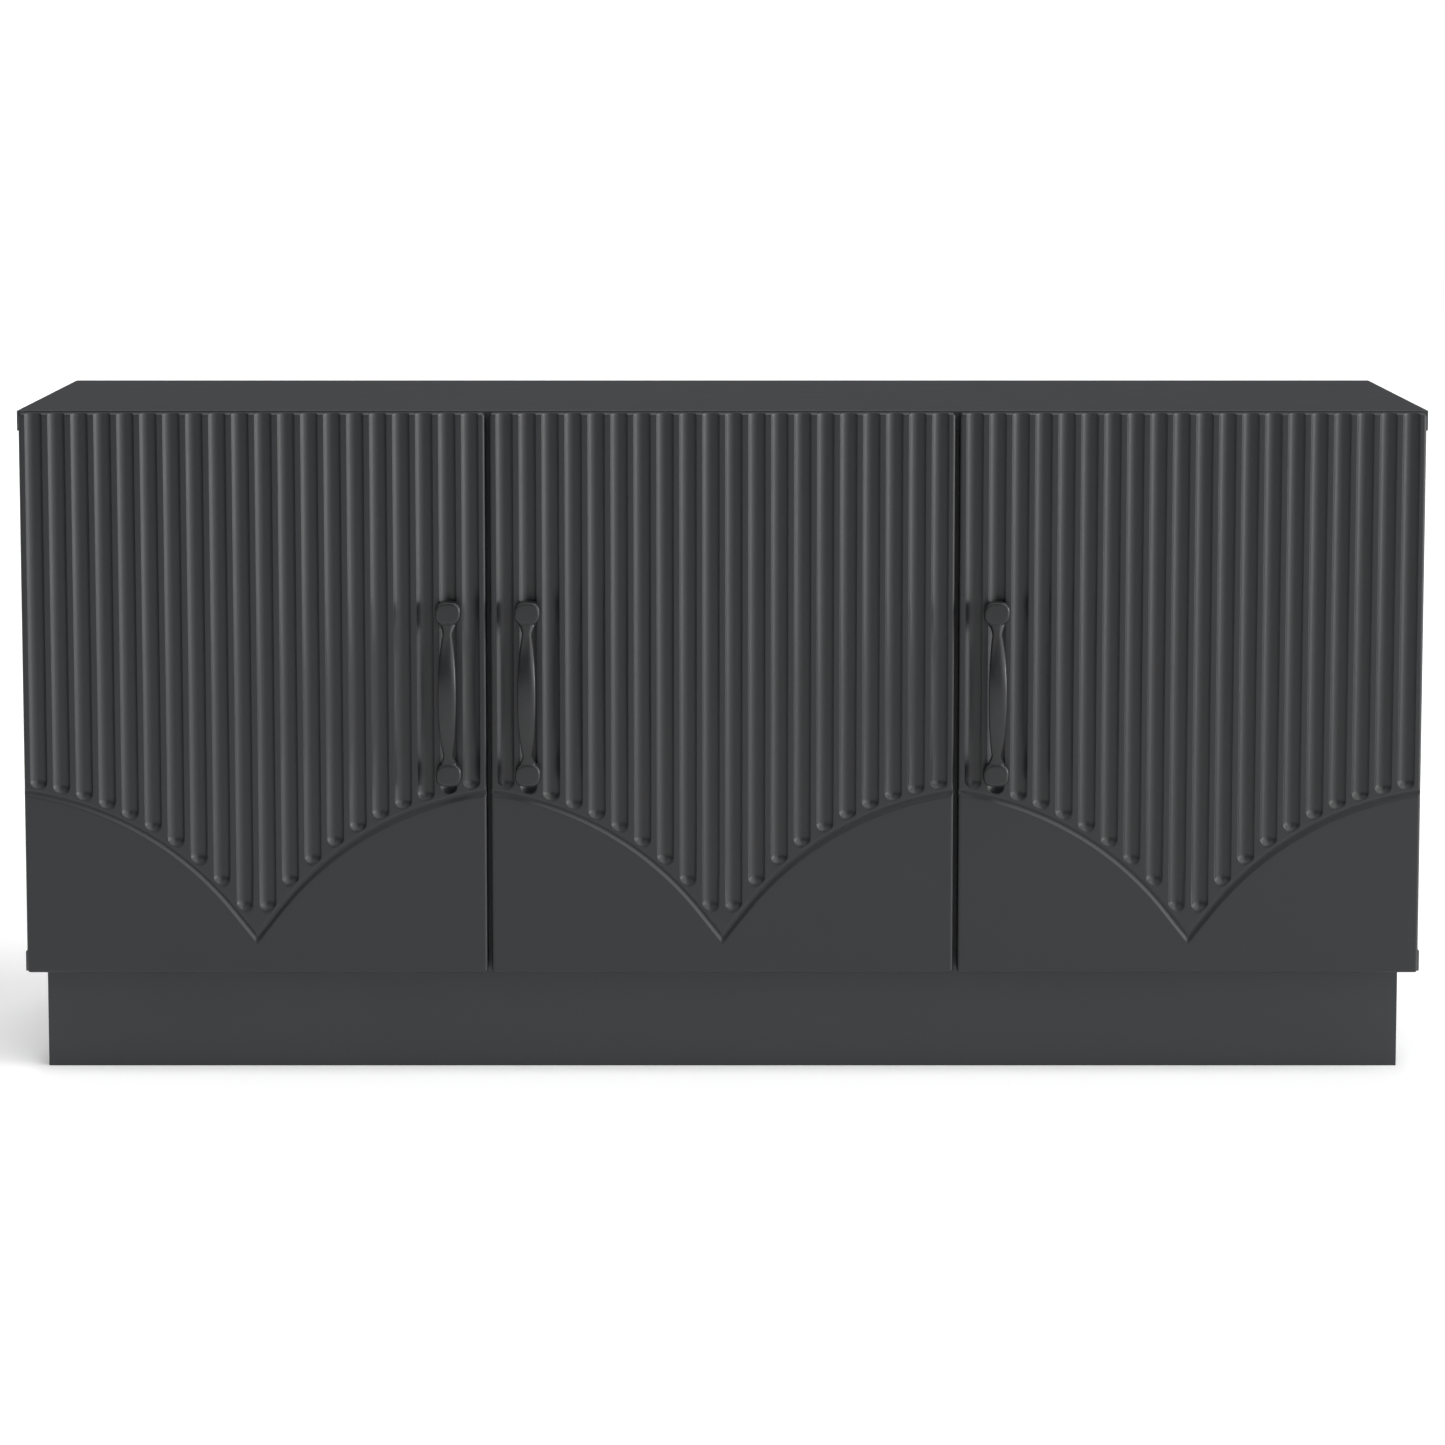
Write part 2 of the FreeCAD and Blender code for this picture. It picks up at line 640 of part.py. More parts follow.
bearers = {"left": "left_side_panel", "middle": "right_partition", "right": "right_side_panel"}
upright_middle = {name: middle for name, middle, facing, faces in uprights}
all_plate_screws, all_adjusting_screws = [], []
for name, left_edge, hinge_side in doors:
    inward = -hinge_side
    hinge_edge = left_edge if hinge_side < 0 else left_edge + door_width
    free_edge = hinge_edge + inward * door_width
    bearer = bearers[name]
    bearing_face = upright_middle[bearer] + inward * upright_board / 2
    face_from_edge = (bearing_face - hinge_edge) * inward

    cups, pins, cup_screws, arms, plates, plate_screws = [], [], [], [], [], []
    cuts = flute_cutters(left_edge) + line_cutters(left_edge)
    for z in hinge_heights():
        cup, pin, screws, recess = hinge_cup(hinge_edge, inward, z)
        cups.append(cup)
        pins.append(pin)
        cup_screws += screws
        cuts += [recess] + screws
        arm, adjusting = hinge_arm(hinge_edge, inward, face_from_edge, z)
        plate, screws = hinge_plate(hinge_edge, inward, face_from_edge, z)
        arms.append(arm.cut(screws))
        all_adjusting_screws += adjusting
        plates.append(plate)
        plate_screws += screws

    handle_x = free_edge - inward * handle_from_edge
    handle_z = door_foot_z + handle_height
    pull = handle(handle_x, handle_z)
    pull_screws = []
    for side in (-1, 1):
        seat = point(handle_x, door_back_y, handle_z + side * handle_spacing / 2)
        pull_screws.append(screw(handle_screw, seat, point(0, -1, 0)))
        cuts.append(rod(handle_screw[0] + handle_screw_clearance, seat + along_y, point(0, -1, 0),
                        door_thickness + 2 * cut_spare))
    bumpers = []
    for z in (door_foot_z + bumper_from_end, door_head_z - bumper_from_end):
        seat = point(free_edge - inward * bumper_from_edge, door_back_y, z)
        pad = rod(bumper_radius, seat, along_y, door_stand_off - bumper_clearance)
        crown_y = door_back_y + door_stand_off - bumper_clearance
        bumpers.append(rounded(pad, bumper_round, lambda middle, e: abs(middle.y - crown_y) < 0.01))

    pieces[name + "_door"] = door_slab(left_edge).cut(cuts)
    pieces[name + "_handle"] = pull.cut(pull_screws)
    pieces[name + "_handle_screws"] = group(pull_screws)
    pieces[name + "_hinge_cups"] = group(cups)
    pieces[name + "_hinge_pins"] = group(pins)
    pieces[name + "_hinge_cup_screws"] = group(cup_screws)
    pieces[name + "_door_bumpers"] = group(bumpers)
    pieces[name + "_hinge_arms"] = group(arms)
    pieces[name + "_hinge_plates"] = group(plates)
    pieces[bearer] = pieces[bearer].cut(plate_screws)
    all_plate_screws += plate_screws
pieces["hinge_plate_screws"] = group(all_plate_screws)
pieces["hinge_adjusting_screws"] = group(all_adjusting_screws)

os.makedirs("parts", exist_ok=True)
for name, shape in pieces.items():
    solids = shape.Solids
    print(f"{name}: {len(solids)} solids, {sum(s.Volume for s in solids) / 1000:.1f} cm3, valid {shape.isValid()}")
    (solids[0] if len(solids) == 1 else shape).exportStep(f"parts/{name}.step")
print("pivot of each door:", [(round((e if s < 0 else e + door_width) - s * pivot_from_edge, 3),
                               round(door_front_y + pivot_from_front, 3)) for n, e, s in doors])
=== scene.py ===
import json
import math

import bmesh
import bpy
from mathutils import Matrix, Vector, geometry


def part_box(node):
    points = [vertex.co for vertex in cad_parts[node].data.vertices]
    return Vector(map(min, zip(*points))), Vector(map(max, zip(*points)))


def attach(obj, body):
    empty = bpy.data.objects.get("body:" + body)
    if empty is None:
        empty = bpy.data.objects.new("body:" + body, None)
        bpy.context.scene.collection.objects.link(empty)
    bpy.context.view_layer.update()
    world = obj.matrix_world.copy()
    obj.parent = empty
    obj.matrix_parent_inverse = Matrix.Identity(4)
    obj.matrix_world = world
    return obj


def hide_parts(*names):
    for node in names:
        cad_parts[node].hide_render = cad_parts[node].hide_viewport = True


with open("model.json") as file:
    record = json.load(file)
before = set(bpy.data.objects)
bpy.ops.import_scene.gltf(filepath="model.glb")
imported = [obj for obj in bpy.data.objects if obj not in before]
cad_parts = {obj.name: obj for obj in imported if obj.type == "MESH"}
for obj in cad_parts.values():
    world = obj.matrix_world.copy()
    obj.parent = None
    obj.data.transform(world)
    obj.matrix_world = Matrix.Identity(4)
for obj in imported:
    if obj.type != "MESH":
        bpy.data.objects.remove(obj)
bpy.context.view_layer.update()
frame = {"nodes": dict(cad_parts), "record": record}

# A charcoal three-door sideboard: carved doors, cast handles, eased boards and the fittings inside.
# Metres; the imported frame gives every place.

scene = bpy.context.scene
scene.view_settings.view_transform = "Standard"
print("frame loaded:", len(frame["nodes"]), "nodes")


class Num:  # a socket that takes part in sums
    def __init__(self, graph, socket):
        self.graph = graph
        self.socket = socket

    def __add__(self, other):
        return self.graph.math("ADD", self, other)

    def __radd__(self, other):
        return self.graph.math("ADD", other, self)

    def __sub__(self, other):
        return self.graph.math("SUBTRACT", self, other)

    def __rsub__(self, other):
        return self.graph.math("SUBTRACT", other, self)

    def __mul__(self, other):
        return self.graph.math("MULTIPLY", self, other)

    def __rmul__(self, other):
        return self.graph.math("MULTIPLY", other, self)

    def __truediv__(self, other):
        return self.graph.math("DIVIDE", self, other)

    def __rtruediv__(self, other):
        return self.graph.math("DIVIDE", other, self)

    def __abs__(self):
        return self.graph.math("ABSOLUTE", self)

    def __gt__(self, other):
        return self.graph.math("GREATER_THAN", self, other)


class Graph:  # a node tree and the one way to add a node to it
    def __init__(self, tree):
        self.tree = tree

    def node(self, kind, settings=None, inputs=None):
        made = self.tree.nodes.new(kind)
        for name, value in (settings or {}).items():
            setattr(made, name, value)
        for name, value in (inputs or {}).items():
            self.give(made.inputs[name], value)
        return made

    def give(self, socket, value):  # a link or a plain value
        if isinstance(value, Num):
            self.tree.links.new(value.socket, socket)
        else:
            socket.default_value = value

    def num(self, made, output=0):
        return Num(self, made.outputs[output])

    def math(self, operation, *terms):
        return self.num(self.node("ShaderNodeMath", {"operation": operation}, dict(enumerate(terms))))


def root(term):
    return term.graph.math("SQRT", term)


def bigger(a, b):
    return a.graph.math("MAXIMUM", a, b)


def smaller(a, b):
    return a.graph.math("MINIMUM", a, b)


def length(a, b):
    return root(a * a + b * b)


colourMix = {"factor": 0, "first": 6, "second": 7, "result": 2}  # places of the Mix node's colour sockets


def newFinish(name, constants=None):
    material = bpy.data.materials.new(name)
    material.use_nodes = True
    graph = Graph(material.node_tree)
    shader = material.node_tree.nodes["Principled BSDF"]
    for socket, value in (constants or {}).items():
        shader.inputs[socket].default_value = value
    where = graph.num(graph.node("ShaderNodeTexCoord"), "Object")
    return material, graph, shader, where


def noise(graph, where, scale, detail, roughness=0.55):
    inputs = {"Vector": where, "Scale": scale, "Detail": detail, "Roughness": roughness}
    return graph.num(graph.node("ShaderNodeTexNoise", {"noise_dimensions": "3D"}, inputs))


def stretched(graph, where, scale):
    inputs = {"Vector": where, "Scale": scale}
    return graph.num(graph.node("ShaderNodeMapping", {"vector_type": "POINT"}, inputs))


def blendColour(graph, factor, shades):  # from the finish's dark colour to its light one
    inputs = {
        colourMix["factor"]: factor,
        colourMix["first"]: (*shades["dark"], 1),
        colourMix["second"]: (*shades["light"], 1),
    }
    return graph.num(graph.node("ShaderNodeMix", {"data_type": "RGBA"}, inputs), colourMix["result"])


def bumped(graph, height, bump):
    depth, strength = bump
    inputs = {"Height": height, "Distance": depth, "Strength": strength}
    return graph.num(graph.node("ShaderNodeBump", {}, inputs))


def feed(graph, shader, colour, rough, normal):
    graph.give(shader.inputs["Base Color"], colour)
    graph.give(shader.inputs["Roughness"], rough)
    graph.give(shader.inputs["Normal"], normal)


# In the finishes a layer of noise is (scale, detail), "rough" is the roughness at its smoothest,
# and a bump is (depth, strength).

lacquer = {
    "dark": (0.0061, 0.0068, 0.0082),
    "light": (0.0075, 0.0083, 0.0099),
    "boardLift": 2.15,  # how much lighter the boards are than the doors
    "rough": 0.375,
    "cloud": (5.0, 2.0),
    "drift": (22.0, 3.0),
    "peel": (420.0, 1.5),
    "specks": (2600.0, 1.0),
    "specksTint": 0.2,
    "driftRough": 0.08,
    "specksRough": 0.05,
    "specksHeight": 0.25,
    "bump": (0.00006, 0.35),
}


def lacquerFinish(name, lift=1.0):  # sprayed satin paint with a faint orange peel and dust specks
    material, graph, shader, where = newFinish(name)
    cloud = noise(graph, where, *lacquer["cloud"])
    drift = noise(graph, where, *lacquer["drift"])
    peel = noise(graph, where, *lacquer["peel"])
    specks = noise(graph, where, *lacquer["specks"])
    shades = {shade: tuple(part * lift for part in lacquer[shade]) for shade in ("dark", "light")}
    tint = cloud * (1 - lacquer["specksTint"]) + specks * lacquer["specksTint"]
    rough = drift * lacquer["driftRough"] + specks * lacquer["specksRough"] + lacquer["rough"]
    height = peel + specks * lacquer["specksHeight"]
    feed(graph, shader, blendColour(graph, tint, shades), rough, bumped(graph, height, lacquer["bump"]))
    return material


hardboard = {
    "dark": (0.026, 0.0262, 0.027),
    "light": (0.044, 0.0435, 0.043),
    "rough": 0.6,
    "stretch": (1, 1, 0.35),
    "fibres": (900.0, 4.0, 0.7),
    "cloud": (14.0, 3.0),
    "cloudTint": 0.3,
    "fibresRough": 0.2,
    "bump": (0.00015, 0.5),
}


def hardboardFinish():
    material, graph, shader, where = newFinish("hardboard")
    fibres = noise(graph, stretched(graph, where, hardboard["stretch"]), *hardboard["fibres"])
    cloud = noise(graph, where, *hardboard["cloud"])
    tint = fibres * (1 - hardboard["cloudTint"]) + cloud * hardboard["cloudTint"]
    colour = blendColour(graph, tint, hardboard)
    rough = fibres * hardboard["fibresRough"] + hardboard["rough"]
    feed(graph, shader, colour, rough, bumped(graph, fibres, hardboard["bump"]))
    return material


bareWood = {
    "dark": (0.50, 0.33, 0.18),  # where the pattern is low: the paler early wood
    "light": (0.30, 0.17, 0.075),  # where it is high: the late wood
    "rough": 0.55,
    "stretch": (0.5, 0.06, 1.0),
    "rings": {"Scale": 90.0, "Distortion": 6.0, "Detail": 2.0, "Detail Scale": 1.2},
    "wander": (9.0, 2.0),
    "poreStretch": (900, 40, 900),
    "pores": (1.0, 2.0),
    "ringsTint": 0.55,
    "wanderTint": 0.3,
    "poresTint": 0.15,
    "poresRough": 0.2,
    "ringsHeight": 0.4,
    "bump": (0.0001, 0.4),
}


def bareWoodFinish():  # pine with its grain along the long way of the rails
    material, graph, shader, where = newFinish("bareWood")
    along = stretched(graph, where, bareWood["stretch"])
    wander = noise(graph, along, *bareWood["wander"])
    wave = {"wave_type": "RINGS", "rings_direction": "Y"}
    rings = graph.num(graph.node("ShaderNodeTexWave", wave, {"Vector": along, **bareWood["rings"]}), "Fac")
    pores = noise(graph, stretched(graph, where, bareWood["poreStretch"]), *bareWood["pores"])
    tint = rings * bareWood["ringsTint"] + wander * bareWood["wanderTint"] + pores * bareWood["poresTint"]
    rough = pores * bareWood["poresRough"] + bareWood["rough"]
    height = pores + rings * bareWood["ringsHeight"]
    feed(graph, shader, blendColour(graph, tint, bareWood), rough, bumped(graph, height, bareWood["bump"]))
    return material


metals = {
    "zincCasting": {
        "dark": (0.36, 0.365, 0.37),
        "light": (0.52, 0.525, 0.53),
        "rough": 0.36,
        "grain": 1500.0,
    },
    "zincSteel": {
        "dark": (0.50, 0.50, 0.47),
        "light": (0.66, 0.65, 0.60),
        "rough": 0.20,
        "grain": 900.0,
    },
    "nickelSteel": {
        "dark": (0.53, 0.52, 0.50),
        "light": (0.68, 0.67, 0.64),
        "rough": 0.14,
        "grain": 700.0,
    },
}
metalWork = {
    "stretch": (1, 1, 0.08),
    "grainDetail": 3.0,
    "patches": (60.0, 3.0),
    "grainTint": 0.4,
    "grainRough": 0.12,
    "patchesRough": 0.1,
    "bump": (0.00003, 0.4),
}


def metalFinish(name):
    material, graph, shader, where = newFinish(name, {"Metallic": 1.0})
    along = stretched(graph, where, metalWork["stretch"])
    grain = noise(graph, along, metals[name]["grain"], metalWork["grainDetail"])
    patches = noise(graph, where, *metalWork["patches"])
    tint = grain * metalWork["grainTint"] + patches * (1 - metalWork["grainTint"])
    rough = grain * metalWork["grainRough"] + patches * metalWork["patchesRough"] + metals[name]["rough"]
    colour = blendColour(graph, tint, metals[name])
    feed(graph, shader, colour, rough, bumped(graph, grain, metalWork["bump"]))
    return material


pewter = {
    "dark": (0.0125, 0.013, 0.014),
    "light": (0.022, 0.0226, 0.024),
    "metallic": 0.35,
    "rough": 0.23,
    "cast": (700.0, 3.0),
    "cloud": (60.0, 3.0),
    "castTint": 0.3,
    "castRough": 0.10,
    "cloudRough": 0.12,
    "bump": (0.00006, 0.5),
}


def pewterFinish():  # cast handles under a thin dark coat, with a tone that varies at random
    material, graph, shader, where = newFinish("pewter", {"Metallic": pewter["metallic"]})
    cast = noise(graph, where, *pewter["cast"])
    cloud = noise(graph, where, *pewter["cloud"])
    tint = cloud * (1 - pewter["castTint"]) + cast * pewter["castTint"]
    rough = cast * pewter["castRough"] + cloud * pewter["cloudRough"] + pewter["rough"]
    feed(graph, shader, blendColour(graph, tint, pewter), rough, bumped(graph, cast, pewter["bump"]))
    return material


rubber = {
    "dark": (0.50, 0.51, 0.51),
    "light": (0.66, 0.67, 0.67),
    "rough": 0.25,
    "cloud": (500.0, 2.0),
    "cloudRough": 0.1,
    "bump": (0.00003, 0.3),
}


def rubberFinish():
    material, graph, shader, where = newFinish("clearRubber")
    cloud = noise(graph, where, *rubber["cloud"])
    rough = cloud * rubber["cloudRough"] + rubber["rough"]
    feed(graph, shader, blendColour(graph, cloud, rubber), rough, bumped(graph, cloud, rubber["bump"]))
    return material


finishes = {
    "painted_front": lacquerFinish("frontLacquer"),
    "painted_board": lacquerFinish("boardLacquer", lacquer["boardLift"]),
    "hardboard": hardboardFinish(),
    "bare_wood": bareWoodFinish(),
    "zinc_casting": metalFinish("zincCasting"),
    "zinc_steel": metalFinish("zincSteel"),
    "nickel_steel": metalFinish("nickelSteel"),
    "pewter": pewterFinish(),
    "clear_rubber": rubberFinish(),
}
slotOf = {part["node"]: part["material_slot"] for part in frame["record"]["subparts"]}
bodyOf = {node: body for body, nodes in frame["record"]["behaviour"]["bodies"].items() for node in nodes}
print("finishes made:", len(finishes))


def newObject(name, mesh, material=None):
    piece = bpy.data.objects.new(name, mesh)
    scene.collection.objects.link(piece)
    if material:
        mesh.materials.append(material)
    return piece


def applied(piece):  # its modifiers made into plain mesh
    depsgraph = bpy.context.evaluated_depsgraph_get()
    depsgraph.update()
    mesh = bpy.data.meshes.new_from_object(piece.evaluated_get(depsgraph), preserve_all_data_layers=True,
                                           depsgraph=depsgraph)
    piece.modifiers.clear()
    piece.data = mesh


def meshOf(shape, name):  # the finished bmesh as a mesh
    mesh = bpy.data.meshes.new(name)
    shape.to_mesh(mesh)
    shape.free()
    return mesh


def shadeRound(shape, crease):  # smooth, but for edges sharper than the crease
    for face in shape.faces:
        face.smooth = True
    for edge in shape.edges:
        if len(edge.link_faces) == 2 and edge.calc_face_angle(0) > math.radians(crease):
            edge.smooth = False


def seat(piece, node):  # the piece stands for that node, on its body
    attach(piece, bodyOf[node])
    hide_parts(node)


def spread(first, last, count):
    return [first + (last - first) * step / count for step in range(count + 1)]


def rounded(bend, angle):  # how far in, and how far along, an eased edge has come at that angle
    turn = math.radians(angle)
    return bend * (1 - math.cos(turn)), bend * math.sin(turn)


carving = {
    "fluteCount": 20,
    "fluteWidth": 0.017,
    "fluteDepth": 0.0045,
    "margin": 0.0063,
    "rimSoftness": 0.00025,
    "lineEdgeHeight": 0.1827,
    "lineTipHeight": 0.0351,
    "lineStartAngle": 7.9,
    "lineStraight": 0.0368,
    "lineWidth": 0.007,
    "lineDepth": 0.0023,
    "valleySoftness": 1.2,  # of the line's middle, against that of a rim
    "fluteEndOffset": 0.0142,
    "cornerRound": 0.0032,
    "frontRound": 0.003,
    "backRound": 0.002,
    "cupRadius": 0.0176,
    "cupDepth": 0.0115,
    "cupSides": 56,
    "cupFromEdge": 0.0215,
    "hingeFromEnd": 0.1,
    "frontAngles": (0, 18, 36, 54, 72, 90),  # steps round an eased front edge
    "backAngles": (0, 30, 60, 90),
    "fluteShares": (1.04, 1.0, 0.97, 0.92, 0.84, 0.72, 0.58, 0.42, 0.22, 0.0),  # columns, rim to middle
    "rowsInGroove": 8,  # rows of the sheet from the line's middle to its rim
    "rowsBelow": 12,
    "rowsAbove": 40,
    "plainRows": 8,
    "fluteRows": 24,
    "slopeRange": (0.01, 88.0),  # the least turn of the shoulder, in radians, and the steepest slope
    "slopeSteps": 60,
    "crease": 60.0,
    "weld": 1e-7,
}
doors = {"left": -1, "middle": 1, "right": 1}  # the side that each door hangs on


def lineShape(halfWidth):  # the carved line: a round shoulder, then a straight run down to the tip
    start = math.radians(carving["lineStartAngle"])
    drop = carving["lineEdgeHeight"] - carving["lineTipHeight"]
    leastTurn, steepest = carving["slopeRange"]
    low, high = start + leastTurn, math.radians(steepest)
    for _ in range(carving["slopeSteps"]):
        slope = (low + high) / 2
        run = halfWidth - carving["lineStraight"] * math.cos(slope)
        radius = run / (math.sin(slope) - math.sin(start))
        reached = radius * (math.cos(start) - math.cos(slope)) + carving["lineStraight"] * math.sin(slope)
        low, high = (slope, high) if reached < drop else (low, slope)
    return {
        "shoulderRadius": radius,
        "tipSlope": slope,
        "shoulderX": -radius * math.sin(start),
        "shoulderZ": carving["lineEdgeHeight"] - radius * math.cos(start),
    }


def carvedTree(material):  # sets each point of a flat sheet back by the depth of the carving there
    tree = bpy.data.node_groups.new("carvedFront", "GeometryNodeTree")
    sockets = tree.interface
    sockets.new_socket(name="Sheet", in_out="INPUT", socket_type="NodeSocketGeometry")
    names = ["leftEdge", "footHeight", "faceDepth", "doorWidth", "doorHeight", "fluteCount", "fluteWidth",
             "fluteDepth", "margin", "rimSoftness", "shoulderRadius", "shoulderX", "shoulderZ", "tipSlope",
             "fluteEndOffset", "lineWidth", "lineDepth", "valleySoftness", "cornerRound", "frontRound"]
    for name in names:
        sockets.new_socket(name=name, in_out="INPUT", socket_type="NodeSocketFloat")
    sockets.new_socket(name="Front", in_out="OUTPUT", socket_type="NodeSocketGeometry")
    graph = Graph(tree)
    given = graph.node("NodeGroupInput")
    size = {name: graph.num(given, name) for name in names}
    position = graph.num(graph.node("GeometryNodeInputPosition"))
    place = graph.node("ShaderNodeSeparateXYZ", {}, {"Vector": position})
    x = graph.num(place, "X") - size["leftEdge"]
    z = graph.num(place, "Z") - size["footHeight"]
    width, height = size["doorWidth"], size["doorHeight"]
    across = smaller(x, width - x)  # distance from the nearer edge

    pitch = (width - 2 * size["margin"] - size["fluteWidth"]) / (size["fluteCount"] - 1)
    first = size["margin"] + size["fluteWidth"] / 2
    number = graph.math("FLOOR", (x - first) / pitch + 0.5)
    number = smaller(bigger(number, 0), size["fluteCount"] - 1)
    middle = first + number * pitch
    middleAcross = smaller(middle, width - middle)

    slopeSin = graph.math("SINE", size["tipSlope"])
    slopeCos = graph.math("COSINE", size["tipSlope"])
    reach = size["shoulderRadius"] + size["fluteEndOffset"]
    turnX = size["shoulderX"] + reach * slopeSin
    turnZ = size["shoulderZ"] + reach * slopeCos
    fromCentre = middleAcross - size["shoulderX"]
    onShoulder = size["shoulderZ"] + root(bigger(reach * reach - fromCentre * fromCentre, 0))
    onStraight = turnZ - (middleAcross - turnX) * slopeSin / slopeCos
    straight = middleAcross > turnX
    fluteEnd = straight * onStraight + (1 - straight) * onShoulder

    radius = size["fluteWidth"] * size["fluteWidth"] / 4 + size["fluteDepth"] * size["fluteDepth"]
    radius = radius / (2 * size["fluteDepth"])
    fromAxis = length(x - middle, bigger(fluteEnd - z, 0))
    hollow = root(bigger(radius * radius - fromAxis * fromAxis, 0)) - (radius - size["fluteDepth"])
    soft = size["rimSoftness"]
    flute = (hollow + length(hollow, soft)) * 0.5

    lineX = size["shoulderX"] + size["shoulderRadius"] * slopeSin
    lineZ = size["shoulderZ"] + size["shoulderRadius"] * slopeCos
    past = (across - lineX) * slopeCos - (z - lineZ) * slopeSin
    fromStraight = abs((across - lineX) * slopeSin + (z - lineZ) * slopeCos)
    fromShoulder = abs(length(across - size["shoulderX"], z - size["shoulderZ"]) - size["shoulderRadius"])
    onRun = past > 0
    fromLine = onRun * fromStraight + (1 - onRun) * fromShoulder
    fromLine = length(fromLine, soft * size["valleySoftness"])
    cut = size["lineDepth"] * (1 - 2 * fromLine / size["lineWidth"])
    groove = (cut + length(cut, soft)) * 0.5

    sideways = abs(x - width / 2) - (width / 2 - size["cornerRound"])
    upright = abs(z - height / 2) - (height / 2 - size["cornerRound"])
    outside = length(bigger(sideways, 0), bigger(upright, 0))
    inside = smaller(bigger(sideways, upright), 0)
    fromEdge = size["cornerRound"] - outside - inside
    bend = size["frontRound"]
    slack = bigger(bend - fromEdge, 0)
    rounding = bend - root(bigger(bend * bend - slack * slack, 0))

    depth = bigger(bigger(flute, groove), rounding)
    ends = {"X": graph.num(place, "X"), "Y": size["faceDepth"] + depth, "Z": graph.num(place, "Z")}
    moved = graph.num(graph.node("ShaderNodeCombineXYZ", {}, ends))
    sheet = {"Geometry": graph.num(given, "Sheet"), "Position": moved}
    carved = graph.node("GeometryNodeSetPosition", {}, sheet)
    whole = graph.node("GeometryNodeRealizeInstances", {}, {"Geometry": graph.num(carved)})
    finish = {"Geometry": graph.num(whole), "Material": material}
    painted = graph.node("GeometryNodeSetMaterial", {}, finish)
    graph.node("NodeGroupOutput", {}, {"Front": graph.num(painted)})
    return tree


def edgeSteps():  # steps in from an edge, close together where the edge is round
    return [rounded(carving["frontRound"], angle)[0] for angle in carving["frontAngles"]]


def sheetColumns(width):  # upright columns of the sheet, close together at the rims of the flutes
    edge = edgeSteps()
    half = carving["fluteWidth"] / 2
    pitch = (width - 2 * (carving["margin"] + half)) / (carving["fluteCount"] - 1)
    columns = list(edge)
    for number in range(carving["fluteCount"]):
        middle = carving["margin"] + half + number * pitch
        if number:
            columns.append(middle - pitch / 2)  # the middle of the land between two flutes
        columns += [middle - half * share for share in carving["fluteShares"]]
        columns += [middle + half * share for share in reversed(carving["fluteShares"][:-1])]
    return columns + [width - step for step in reversed(edge)]


def besideLine(across, offset, line):  # height of the curve beside the carved line, at an offset from it
    reach = line["shoulderRadius"] + offset
    turn = line["shoulderX"] + reach * math.sin(line["tipSlope"])
    if across < turn:
        return line["shoulderZ"] + math.sqrt(reach ** 2 - (across - line["shoulderX"]) ** 2)
    top = line["shoulderZ"] + reach * math.cos(line["tipSlope"])
    return top - (across - turn) * math.tan(line["tipSlope"])


def columnHeights(across, height, line):  # rows are level at the door's ends and follow the line between
    edge = edgeSteps()
    step = carving["lineWidth"] / 2 / carving["rowsInGroove"]
    rows = range(-carving["rowsBelow"], carving["rowsAbove"] + 1)
    beside = [besideLine(across, row * step, line) for row in rows]
    below = spread(edge[-1], beside[0], carving["plainRows"])[1:-1]
    above = spread(beside[-1], height - edge[-1], carving["fluteRows"])[1:-1]
    return edge + below + beside + above + [height - back for back in reversed(edge)]


def roundedPlace(x, z, width, height):  # draws a square corner of the sheet in to a rounded one
    bend = carving["cornerRound"]
    sideX = 1 if x > width / 2 else -1
    sideZ = 1 if z > height / 2 else -1
    a = bend - (width / 2 - abs(x - width / 2))
    b = bend - (height / 2 - abs(z - height / 2))
    if a <= 0 or b <= 0:
        return x, z
    shrink = max(a, b) / math.hypot(a, b)
    return (width / 2 + sideX * (width / 2 - bend + a * shrink),
            height / 2 + sideZ * (height / 2 - bend + b * shrink))


def carvedSheet(name, lo, hi, tree):
    width, height = hi.x - lo.x, hi.z - lo.z
    line = lineShape(width / 2)
    columns = sheetColumns(width)
    heights = [columnHeights(min(x, width - x), height, line) for x in columns]
    across, rows = len(columns), len(heights[0])
    points = []
    for row in range(rows):
        for x, column in zip(columns, heights):
            px, pz = roundedPlace(x, column[row], width, height)
            points.append((lo.x + px, lo.y, lo.z + pz))
    quads = [(j * across + i, j * across + i + 1, (j + 1) * across + i + 1, (j + 1) * across + i)
             for j in range(rows - 1) for i in range(across - 1)]
    mesh = bpy.data.meshes.new(name)
    mesh.from_pydata(points, [], quads)
    piece = newObject(name, mesh)
    sizes = {**carving, **line, "leftEdge": lo.x, "footHeight": lo.z, "faceDepth": lo.y,
             "doorWidth": width, "doorHeight": height}
    modifier = piece.modifiers.new("carving", "NODES")
    modifier.node_group = tree
    for socket in tree.interface.items_tree:
        if socket.in_out == "INPUT" and socket.socket_type == "NodeSocketFloat":
            modifier[socket.identifier] = float(sizes[socket.name])
    applied(piece)
    rim = list(range(across)) + [j * across + across - 1 for j in range(1, rows)]
    rim += [(rows - 1) * across + i for i in range(across - 2, -1, -1)]
    rim += [j * across for j in range(rows - 2, 0, -1)]
    return piece, rim


def inward(point, lo, hi):  # unit direction from a point on the door's outline into the door, in x and z
    bend = carving["cornerRound"]
    cx = min(max(point.x, lo.x + bend), hi.x - bend)
    cz = min(max(point.z, lo.z + bend), hi.z - bend)
    return Vector((cx - point.x, 0, cz - point.z)).normalized()


